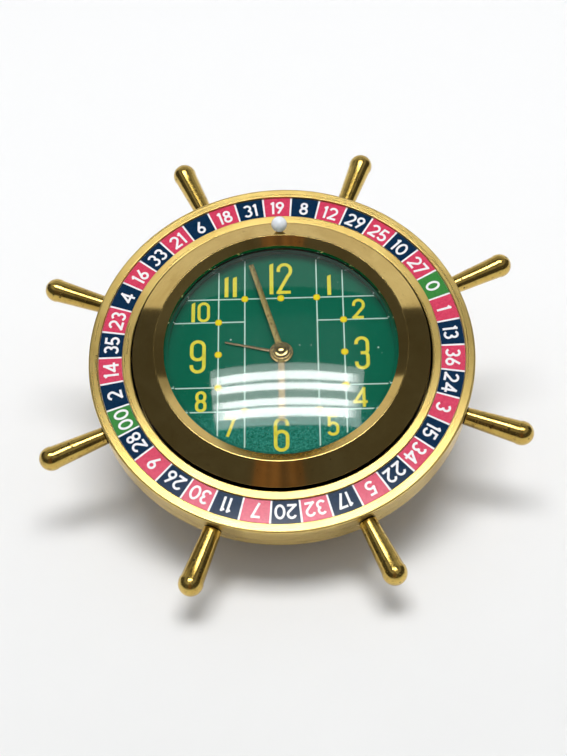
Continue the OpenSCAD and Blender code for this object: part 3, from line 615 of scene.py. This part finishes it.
def dial_digit(d, w, h):
    """Strokes of a narrow digit whose middle lines span w by h millimetres."""
    r = w / 2
    if d == "0":
        return [(arc(r, h - r, r, r, 0, 180) + arc(r, r, r, r, 180, 360), True)]
    if d == "2":
        return [([(0, h - r * 1.35)] + arc(r, h - r, r, r, 180, 0)
                 + arc(0, h - r * 1.2, w, r * 1.5, 0, -38, 6) + [(0, 0), (w, 0)], False)]
    if d == "3":
        q = r * 0.62
        top = ([(0, h - r * 1.25)] + arc(r, h - r, r, r, 180, 0)
               + arc(w - q, h / 2 + q, q, q, 0, -90, 8) + [(w * 0.38, h / 2)])
        low = [(x, h - y) for x, y in top]
        return [(top, False), (low, False)]
    if d == "4":
        return [([(w, h * .28), (0, h * .28), (w * .72, h), (w * .72, 0)], False)]
    if d == "5":
        return [([(w * .92, h), (w * .1, h), (w * .1, h * .52)]
                 + arc(r, h * .62 - r, r, r, 120, 0, 10)
                 + arc(r, r, r, r, 0, -160, 12), False)]
    if d == "6":
        return [([(w, h - r * 1.25)] + arc(r, h - r, r, r, 0, 180)
                 + arc(r, r, r, r, 180, 360) + arc(r, h * .6 - r, r, r, 0, 180), False)]
    if d == "7":
        return [([(0, h), (w, h), (w * .3, 0)], False)]
    if d == "8":
        q = r * 0.94
        return [(arc(r, h - q, q, q, 0, 180) + arc(r, h * .52 + q, q, q, 180, 360), True),
                (arc(r, h * .52 - r, r, r, 0, 180) + arc(r, r, r, r, 180, 360), True)]
    turned = dial_digit("6", w, h)
    return [([(w - x, h - y) for x, y in p], c) for p, c in turned]


def runs(points, width):
    """Parts a line at its sharp corners, and laps the parts by half a stroke there."""
    out, run = [], [points[0]]
    for a, b, c in zip(points, points[1:], points[2:]):
        into = (Vector(b) - Vector(a)).normalized()
        away = (Vector(c) - Vector(b)).normalized()
        if into.dot(away) < 0.35:
            out.append(run + [tuple(Vector(b) + into * width / 2)])
            run = [tuple(Vector(b) - away * width / 2)]
        else:
            run.append(b)
    return out + [run + [points[-1]]]


def strokes(name, lines, width, height, z):
    """Flat strokes along the lines. Each lies a little higher than the one before, so
    that no two share a plane where they lap."""
    parts = []
    for points, closed in lines:
        parts += [(points, True)] if closed else [(r, False) for r in runs(points, width)]
    made = []
    for i, (points, closed) in enumerate(parts):
        line = trace(f"{name}_{i}", points, closed)
        made.append(thicken(line, width, height, z + height * i / 20))
    return join(name, made) if len(made) > 1 else made[0]


# Number ring

def make_pocket(name):
    """One printed pocket at 12, spun through its angle from a straight edge."""
    half_gap = 0.25         # of the white line between two pockets
    half = POCKET_STEP / 2 - math.degrees(half_gap / POCKET_MIDDLE)
    obj = trace(name, [(0, POCKET_IN), (0, POCKET_MIDDLE), (0, POCKET_OUT)])
    edit(obj)
    bpy.ops.mesh.spin(steps=8, angle=math.radians(2 * half), center=(0, 0, 0),
                      axis=(0, 0, 1))
    bpy.ops.object.mode_set(mode="OBJECT")
    far = max((v.co.x for v in obj.data.vertices), key=abs)
    obj.data.transform(clockwise(-half if far > 0 else half))
    edit(obj)
    bpy.ops.mesh.extrude_region_move(TRANSFORM_OT_translate={"value": (0, 0, INK)})
    bpy.ops.mesh.select_all(action="SELECT")
    bpy.ops.mesh.normals_make_consistent(inside=False)
    bpy.ops.object.mode_set(mode="OBJECT")
    return obj


def make_number_ring(mats):
    """The printed pockets, and the numerals on them, set from ten digits."""
    pocket = make_pocket("pocket_pattern")
    tall, middle = 4.15, 45.1       # height of a numeral, and radius of its middle
    stroke, space = 0.152, 0.07     # shares of that height
    digits = {}
    for d in "0123456789":
        obj = strokes("ring_digit_" + d, ring_digit(d), stroke, INK / tall,
                      (INK + 0.001) / tall)
        xs = [v.co.x for v in obj.data.vertices]
        obj.data.transform(Matrix.Translation((-min(xs), 0, 0)))
        digits[d] = (obj, max(xs) - min(xs))
    pockets = {"red": [], "navy": [], "green": []}
    numerals = []
    for i, text in enumerate(POCKETS):
        turn = clockwise(FIRST_POCKET + i * POCKET_STEP)
        colour = "green" if text in ("0", "00") else "red" if text in RED else "navy"
        pockets[colour].append(twin(pocket, turn))
        x = -(sum(digits[d][1] for d in text) + space * (len(text) - 1)) / 2
        for d in text:
            obj, wide = digits[d]
            place = (turn @ Matrix.Translation((0, middle, 0)) @ Matrix.Scale(tall, 4)
                     @ Matrix.Translation((x, -0.5, 0)))
            numerals.append(twin(obj, place))
            x += wide + space
    delete([pocket] + [obj for obj, wide in digits.values()])
    for colour, made in pockets.items():
        finish_piece(join("pockets_" + colour, made), "wheel",
                     mats["ink_" + colour], smooth=0)
    finish_piece(join("ring_numerals", numerals), "wheel",
                 mats["ink_white"], smooth=0)


# Dial

def dial_line(start, end, height):
    line_width = 0.36
    return thicken(trace("line", [start, end]), line_width, height, DIAL_Z)


def dial_dot(name, x, y, profile, steps):
    """A raised dot of print from a profile of (radius, height) points."""
    dot = lathe(name, [(r, DIAL_Z + z) for r, z in profile], steps, closed=False)
    dot.data.transform(Matrix.Translation((x, y, 0)))
    return dot


def bar_one(x0, x1, y0, y1, z, height):
    """The figure 1: a plain bar whose top is cut on the slant."""
    return plate("one", [(x0, y0), (x1, y0), (x1, y1), (x0 + 0.2, y1 - 0.35),
                         (x0, y1 - 0.55)], z, height)


def make_dial_print(mats):
    """Thin lines like a betting table's, dots where they cross, and the hours."""
    # the radius where the lines end, and how far off the middle the two pairs of them run
    edge, outer, inner = 30.1, 16.7, 9.68
    lines = []
    # lines that cross differ in height, so that no two share a plane
    for x in (-outer, -inner, inner, outer):
        y = math.sqrt(edge * edge - x * x)
        lines.append(dial_line((x, -y), (x, y), 0.01))
    for y in (outer, -outer):
        x = math.sqrt(edge * edge - y * y)
        lines.append(dial_line((-x, y), (x, y), 0.0104))
    for y in (inner, -inner):
        x = math.sqrt(edge * edge - y * y)
        for side in (-1, 1):
            lines.append(dial_line((side * x, y), (side * inner, y), 0.0108))
    finish_piece(join("dial_lines", lines), "case", mats["ink_pale"],
                 smooth=0)
    dots, cores = [], []
    for x, y in [(0, outer), (inner, outer), (outer, inner), (outer, 0), (outer, -inner),
                 (inner, -outer), (0, -outer), (-inner, -outer), (-outer, -inner),
                 (-outer, 0), (-outer, inner), (-inner, outer)]:
        dots.append(dial_dot("dot", x, y, [(0, 0), (0.98, 0), (0.95, 0.03), (0, 0.036)],
                             32))
        cores.append(dial_dot("core", x, y, [(0, 0), (0.74, 0), (0.7, 0.045), (0, 0.06)],
                              24))
    finish_piece(join("dial_dots", dots), "case", mats["ink_gold"])
    finish_piece(join("dial_dot_centres", cores), "case", mats["ink_dot"])
    # the hours, each from the box that it fills
    foot = DIAL_Z + 0.006
    made = []
    for x0, x1, y0, y1 in [
            (-15.17, -14.12, 17.6, 23.95), (-12.93, -11.85, 17.6, 23.95),
            (-24.0, -23.05, 10.15, 16.2), (12.6, 13.6, 17.45, 23.8),
            (-3.0, -1.95, 18.15, 27.85)]:
        made.append(bar_one(x0, x1, y0, y1, foot, 0.016))
    for d, x0, x1, y0, y1 in [
            ("0", -22.4, -19.05, 10.1, 16.2), ("2", -1.05, 3.2, 18.2, 27.8),
            ("2", 19.1, 22.5, 9.95, 16.05), ("3", 19.3, 23.2, -5.2, 4.6),
            ("4", 18.5, 22.6, -16.45, -10.4), ("5", 11.45, 14.65, -24, -18),
            ("6", -2.2, 1.8, -28.1, -18.5), ("7", -15.3, -11.9, -23.95, -17.9),
            ("8", -22.6, -19.6, -16.5, -10.4), ("9", -24.2, -20, -5.2, 4.7)]:
        stroke = 0.93 if y1 - y0 > 7 else 0.8
        middle_lines = dial_digit(d, x1 - x0 - stroke, y1 - y0 - stroke)
        digit = strokes("dial_digit_" + d, middle_lines, stroke, 0.014, foot)
        digit.data.transform(Matrix.Translation((x0 + stroke / 2, y0 + stroke / 2, 0)))
        made.append(digit)
    numerals = join("dial_numerals", made)
    numerals.data.transform(Matrix.Translation((0, -PRINT_DROP, 0)))
    finish_piece(numerals, "case", mats["ink_yellow"], smooth=0)


# Hands

def make_hand(name, length, tail, root_w, tip_w, z, thick, ridge, boss, at, body, mats,
              metal="hand"):
    """A hand pressed with a ridge along its middle, and its turned collet, lathed from
    the profile boss. at is the way that it points, clockwise from 12."""
    obj = trace(name, [(0, -tail), (0, 0), (0, length * 0.5), (0, length)])
    edit(obj)
    bpy.ops.mesh.extrude_region_move(TRANSFORM_OT_translate={"value": (1, 0, 0)})
    bpy.ops.mesh.select_all(action="SELECT")
    bpy.ops.mesh.duplicate()
    bpy.ops.transform.translate(value=(-1, 0, 0))
    bpy.ops.mesh.select_all(action="SELECT")
    bpy.ops.mesh.remove_doubles(threshold=1e-4)
    bpy.ops.object.mode_set(mode="OBJECT")
    for v in obj.data.vertices:
        side = round(v.co.x)
        t = max(0.0, v.co.y) / length
        v.co.x = side * (root_w + (tip_w - root_w) * t) / 2
        v.co.z = z + thick + (ridge if side == 0 else 0.0)
    edit(obj)
    bpy.ops.mesh.extrude_region_move(TRANSFORM_OT_translate={"value": (0, 0, -thick)})
    bpy.ops.mesh.select_all(action="SELECT")
    bpy.ops.mesh.normals_make_consistent(inside=False)
    bpy.ops.object.mode_set(mode="OBJECT")
    obj.data.transform(clockwise(at))
    finish_piece(obj, body, mats[metal], smooth=25,
                 replaces=(name.replace("_piece", ""),))
    collet = lathe(name.replace("_piece", "_collet"), boss, steps=64, edge=0.05,
                   closed=boss[0][0] > 0)
    finish_piece(collet, body, mats["collet"], smooth=40, keep_flat=True)


def make_hands(mats):
    """The hands stand at 57.2 minutes, at 6 hours, and the alarm's at 9.43 hours."""
    make_hand("minute_hand_piece", 27.35, 1.5, 1.65, 1.35, 0.37, 0.13, 0.14,
              [(0, 0.35), (2.1, 0.35), (2.1, 0.62), (1.9, 0.78), (1.35, 0.86),
               (1.2, 1.15), (0.95, 1.36), (0.5, 1.47), (0, 1.5)],
              57.2 * 6, "minute_set", mats)
    make_hand("hour_hand_piece", 19.6, 2, 1.75, 1.65, -0.33, 0.13, 0.14,
              [(1.6, -0.35), (2.55, -0.35), (2.55, 0.0), (2.4, 0.1), (1.6, 0.1)],
              6 * 30, "hour_set", mats)
    make_hand("alarm_hand_piece", 15.3, 2.5, 0.85, 0.45, -1.03, 0.13, 0.06,
              [(2.2, -1.05), (3.15, -1.05), (3.15, -0.75), (2.9, -0.6), (2.2, -0.6)],
              9.43 * 30, "alarm_hand_set", mats, "thin_hand")


# Wheel rim, bezel and handles

def make_rim(mats):
    """The turned rim: rounded outer lip with a fine groove under it, flat lips beside
    the printed ring, and an open back."""
    rim = lathe("rim_shell", [
        (37.55, -4.6), (39.7, -4.6), (39.7, -9.0), (41.2, -9.0), (41.2, -1.0),
        (49.0, -1.0), (49.0, -9.0), (50.25, -9.0), (50.65, -8.82), (50.85, -8.4),
        (50.85, -0.78), (51.0, -0.6), (51.0, 0.1), (50.85, 0.45), (50.5, 0.6),
        (48.55, 0.6), (48.4, 0.45), (48.4, -0.3), (42.1, -0.3), (42.1, 0.45),
        (41.95, 0.6), (39.95, 0.6), (39.7, 0.35), (39.7, -3.6), (37.55, -3.6)],
        steps=288, edge=0.11)
    finish_piece(rim, "wheel", mats["wheel"], smooth=40,
                 replaces=("wheel_rim",), keep_flat=True)


def make_bezel(mats):
    """The two-sided cone round the crystal, spun and polished to a sharp ridge."""
    bezel = lathe("bezel_cone", [
        (37.5, -3.4), (39.2, -3.4), (39.2, 1.45), (33.6, 4.55), (33.4, 4.7), (33.2, 4.7),
        (33.0, 4.55), (30.8, 3.09), (30.8, 1.0), (32.4, 1.0), (32.4, -1.0), (37.5, -1.0)],
        steps=288, edge=0.03)
    finish_piece(bezel, "case", mats["bezel"], smooth=30,
                 replaces=("bezel",), keep_flat=True)


def make_crystal(mats):
    """The clear dome, with its flange under the bezel's lip."""
    dome_r, thick, edge, top = 133.1, 1.0, 30.75, 5.9
    rings = 24
    profile = []
    for i in range(rings + 1):
        r = edge * i / rings
        profile.append((r, top - dome_r + math.sqrt(dome_r ** 2 - r * r)))
    profile += [(edge, 0.95), (32.3, 0.95), (32.3, -0.2), (edge - thick, -0.2)]
    for i in range(rings, -1, -1):
        r = (edge - thick) * i / rings
        profile.append((r, top - dome_r + math.sqrt((dome_r - thick) ** 2 - r * r)))
    dome = lathe("crystal_dome", profile, steps=192, closed=False)
    finish_piece(dome, "case", mats["crystal"], smooth=30,
                 replaces=("crystal",))


def make_handles(mats):
    """A handle is turned once and copied: a stem that swells to a rounded end, with a
    slight edge where the ball begins and a hollow at its root, darkened by painted shade."""
    root, end = 50.8, 69.1
    stem_r, end_r = 2.38, 3.2
    neck = end - end_r
    profile = [(0, root), (2.3, root), (2.36, root + 0.06), (stem_r, root + 0.6)]
    profile += [(stem_r + (end_r - 0.16 - stem_r) * t,
                 root + 0.6 + (neck - 1.6 - root) * t) for t in (0.25, 0.5, 0.75, 1.0)]
    profile += [(end_r, neck - 0.5)]
    for degrees in range(0, 90, 9):
        a = math.radians(degrees)
        profile.append((end_r * math.cos(a), neck + end_r * math.sin(a)))
    profile += [(0, end)]
    handle = lathe("handle_pattern", profile, steps=56, closed=False)
    handle.data.transform(Matrix.Rotation(math.radians(-90), 4, "X"))
    for i in range(8):
        piece = twin(handle, Matrix.Translation((0, 0, HANDLE_Z))
                     @ clockwise(22.5 + WHEEL_TURN + 45 * i))
        piece.name = f"turned_handle_{i + 1}"
        finish_piece(piece, "wheel", mats["handle"], smooth=30,
                     replaces=(f"handle_{i + 1}",))
    delete([handle])


# Carried-over solids: each gets its material, and what isn't named here the movement's

CAD_MATERIALS = {
    "case": ("case_drum", "back_cover"),
    "bezel": ("bezel", "pointer_pin"),
    "wheel": ("wheel_rim",),
    "handle": tuple(f"handle_{i + 1}" for i in range(8)),
    "ink_white": ("number_ring",),
    "dial": ("dial",),
    "crystal": ("crystal",),
    "ring_black": ("crystal_ring",),
    "ball": ("pointer_ball",),
    "hand": ("minute_hand", "hour_hand", "alarm_hand"),
    "key": ("time_key", "alarm_key", "time_set_knob", "alarm_set_knob", "stop_button"),
    "leg": ("stand_leg",),
    "steel": ("pillars", "pillar_nuts", "plate_screws", "leg_bracket", "leg_pin",
              "handle_nuts", "wheel_keeper", "centre_arbor", "alarm_set_arbor",
              "time_winding_arbor", "alarm_winding_arbor", "time_click", "alarm_click",
              "pallet_lever", "regulator", "hammer"),
    "spring": ("hairspring", "time_mainspring", "alarm_mainspring")}


def dress_frame(mats):
    named = {node: key for key, nodes in CAD_MATERIALS.items() for node in nodes}
    for name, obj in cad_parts.items():
        obj.data.materials.clear()
        obj.data.materials.append(mats[named.get(name, "movement")])


# Table, room and lamps. The photo shows the table alone: the rest is what the brass and
# the crystal mirror, and it is worked back from where they mirror it.

def glowing(name, strength=1.0):
    """A black surface that shines by itself."""
    return new_material(name, Base_Color=grey(0), Emission_Strength=strength)


def wall_glow(name, foot, head):
    """A painted wall, seen only in mirrors: dimmer at the foot and brighter higher up."""
    material, tree, shader, place = glowing(name)
    z = add(tree, "SeparateXYZ", {0: place}).outputs[2]
    up = add(tree, "MapRange", {"Value": z, "From Min": 0.3, "From Max": 2.0})
    plug(tree, shader, {"Emission Color": add(tree, "ValToRGB", {0: up}, [
        (0, grey(foot)), (1, grey(head))])})
    return material


def ceiling_glow():
    """A painted ceiling that is dark over the table and brighter at its edges."""
    material, tree, shader, place = glowing("room_ceiling")
    away = add(tree, "VectorMath", {0: place, 1: (0, 0.1, CEILING_Z)},
               operation="DISTANCE").outputs["Value"]
    off = add(tree, "MapRange", {"Value": away, "From Min": 1.2, "From Max": 2.2})
    plug(tree, shader, {"Emission Color": add(tree, "ValToRGB", {0: off}, [
        (0, grey(0.04)), (1, grey(0.34))])})
    return material


def curtain_glow():
    """A brown curtain with upright folds, which the cones mirror at 6 and 12."""
    material, tree, shader, place = glowing("brown_curtain", 0.42)
    hung = add(tree, "Mapping", {"Vector": place, "Scale": (1, 1, 0.12)})
    folds = add(tree, "TexNoise", {"Vector": hung, "Scale": 12, "Detail": 4,
                                   "Roughness": 0.6})
    plug(tree, shader, {"Emission Color": add(tree, "ValToRGB", {0: folds}, [
        (0.36, paint("4A3020")), (0.6, paint("BC8A62"))])})
    return material


def housing_glow():
    """The white painted housing behind the lamps, which fades away from the table."""
    material, tree, shader, place = glowing("lamp_housing", 2.7)
    y = add(tree, "SeparateXYZ", {0: place}).outputs[1]
    away = add(tree, "MapRange", {"Value": y, "From Min": 0.05, "From Max": 0.78})
    plug(tree, shader, {"Emission Color": add(tree, "ValToRGB", {0: away}, [
        (0, grey(1)), (1, grey(0.14))])})
    return material


def mirror_only(obj):
    obj.visible_camera = False
    obj.visible_diffuse = False
    obj.visible_shadow = False


def card(name, material, x, y, z, wide, deep, upright=False):
    """A card that is seen only in mirrors, with its middle at x, y and z."""
    bare()
    bpy.ops.mesh.primitive_plane_add(size=1)
    obj = bpy.context.object
    obj.name = name
    stood = Matrix.Rotation(math.pi / 2 if upright else 0, 4, "X")
    obj.data.transform(Matrix.Translation((x, y, z)) @ stood
                       @ Matrix.Diagonal((wide, deep, 1, 1)))
    obj.data.materials.append(material)
    mirror_only(obj)


def round_wall(name, material, start, sweep, height):
    """A wall round the table, from one angle on through another, clockwise from +y."""
    bare()
    bpy.ops.mesh.primitive_plane_add(size=1)
    wall = bpy.context.object
    wall.name = name
    bpy.ops.object.mode_set(mode="EDIT")
    bpy.ops.mesh.select_all(action="SELECT")
    bpy.ops.mesh.merge(type="CENTER")
    a = math.radians(start)
    bpy.ops.transform.translate(value=(WALL_R * math.sin(a), WALL_R * math.cos(a), -0.2))
    bpy.ops.mesh.extrude_region_move(TRANSFORM_OT_translate={"value": (0, 0, height)})
    bpy.ops.mesh.select_all(action="SELECT")
    bpy.ops.mesh.spin(steps=40, angle=math.radians(sweep), center=(0, 0, 0),
                      axis=(0, 0, 1))
    bpy.ops.object.mode_set(mode="OBJECT")
    wall.data.materials.append(material)
    mirror_only(wall)


def make_table():
    """Matt white paper on the table, a little greyer in front of the clock than behind:
    painted shade.
    """
    paper, tree, shader, place = new_material("table_white_paper", Roughness=0.75,
                                              IOR=1.45)
    clouds = add(tree, "TexNoise", {"Vector": place, "Scale": 20, "Detail": 3,
                                    "Roughness": 0.55})
    near = add(tree, "ValToRGB", {0: clouds}, [(0.3, paint("EDEDEC")),
                                               (0.7, paint("EFEFEE"))])
    # painted shade: from y -0.12 to 0.06 m the greyer front colour gives way to the white
    # behind
    y = add(tree, "SeparateXYZ", {0: place}).outputs[1]
    back = add(tree, "MapRange", {"Value": y, "From Min": -0.12, "From Max": 0.06})
    plug(tree, shader, {"Base Color": add(tree, "Mix", {
        0: back, 6: near, 7: paint("F8F8F8")}, data_type="RGBA").outputs[2]})
    bare()
    bpy.ops.mesh.primitive_plane_add(size=1, location=(0, 0, 0))
    floor = bpy.context.object
    floor.name = "table_top"
    floor.data.transform(Matrix.Translation((0, 0.9, -0.0002))
                         @ Matrix.Diagonal((5, 3.2, 1, 1)))
    floor.data.materials.append(paper)


def make_room():
    """A dim room at the sides and behind the camera, and a pale wall past the table."""
    dim = wall_glow("room_dark_wall", 0.03, 0.08)
    round_wall("room_wall", dim, 52, 258, 2.1)
    round_wall("far_wall", wall_glow("room_pale_wall", 0.72, 0.8), -50, 102, 1.6)
    card("table_shade", dim, 0, -1.33, 0.0004, 6, 2)
    card("ceiling", ceiling_glow(), 0, 0, CEILING_Z, 6, 6)
    card("curtain", curtain_glow(), -0.106, -1.6, 1.05, 0.72, 2.1, upright=True)


def area_lamp(name, x, y, wide, deep, energy):
    bpy.ops.object.light_add(type="AREA", location=(x, y, LAMP_Z))
    lamp = bpy.context.object
    lamp.name = name
    lamp.data.shape = "RECTANGLE"
    lamp.data.size = wide
    lamp.data.size_y = deep
    lamp.data.energy = energy
    return lamp


def make_lamps():
    """Two twin tubes over the table that only mirrors show, the housing behind them, and
    a soft light that lights the clock but isn't mirrored."""
    for i, (y, deep) in enumerate(TUBES):
        tube = area_lamp(f"tube_{i + 1}", -0.02, y, 1.16, deep, 40 * deep)
        tube.visible_diffuse = False
        tube.data.use_nodes = True
        tree = tube.data.node_tree
        along = add(tree, "SeparateXYZ",
                    {0: add(tree, "NewGeometry").outputs["Parametric"]})
        ends = add(tree, "ValToRGB", {0: along}, [(0, grey(0.1)), (0.09, grey(1)),
                                                  (0.91, grey(1)), (1, grey(0.1))])
        plug(tree, tree.nodes["Emission"], {"Strength": ends})
    soft = area_lamp("soft_light", 0, 0.12, 1.15, 0.66, 22.9)
    soft.visible_glossy = False
    housing = housing_glow()
    card("housing_near", housing, 0, -0.226, LAMP_Z + 0.02, 1.2, 0.53)
    card("housing_far", housing, 0, 1.105, LAMP_Z + 0.02, 2.2, 0.63)


def make_world():
    world = bpy.data.worlds.new("room_light")
    bpy.context.scene.world = world
    world.use_nodes = True
    plug(world.node_tree, world.node_tree.nodes["Background"],
         {"Color": (0.96, 0.98, 1.0, 1), "Strength": 0.36})


def main():
    place_camera()
    mats = make_materials()
    dress_frame(mats)
    make_number_ring(mats)
    make_dial_print(mats)
    make_hands(mats)
    make_rim(mats)
    make_bezel(mats)
    make_crystal(mats)
    make_handles(mats)
    make_table()
    make_room()
    make_lamps()
    make_world()
    bpy.context.scene.view_settings.view_transform = "Standard"


main()
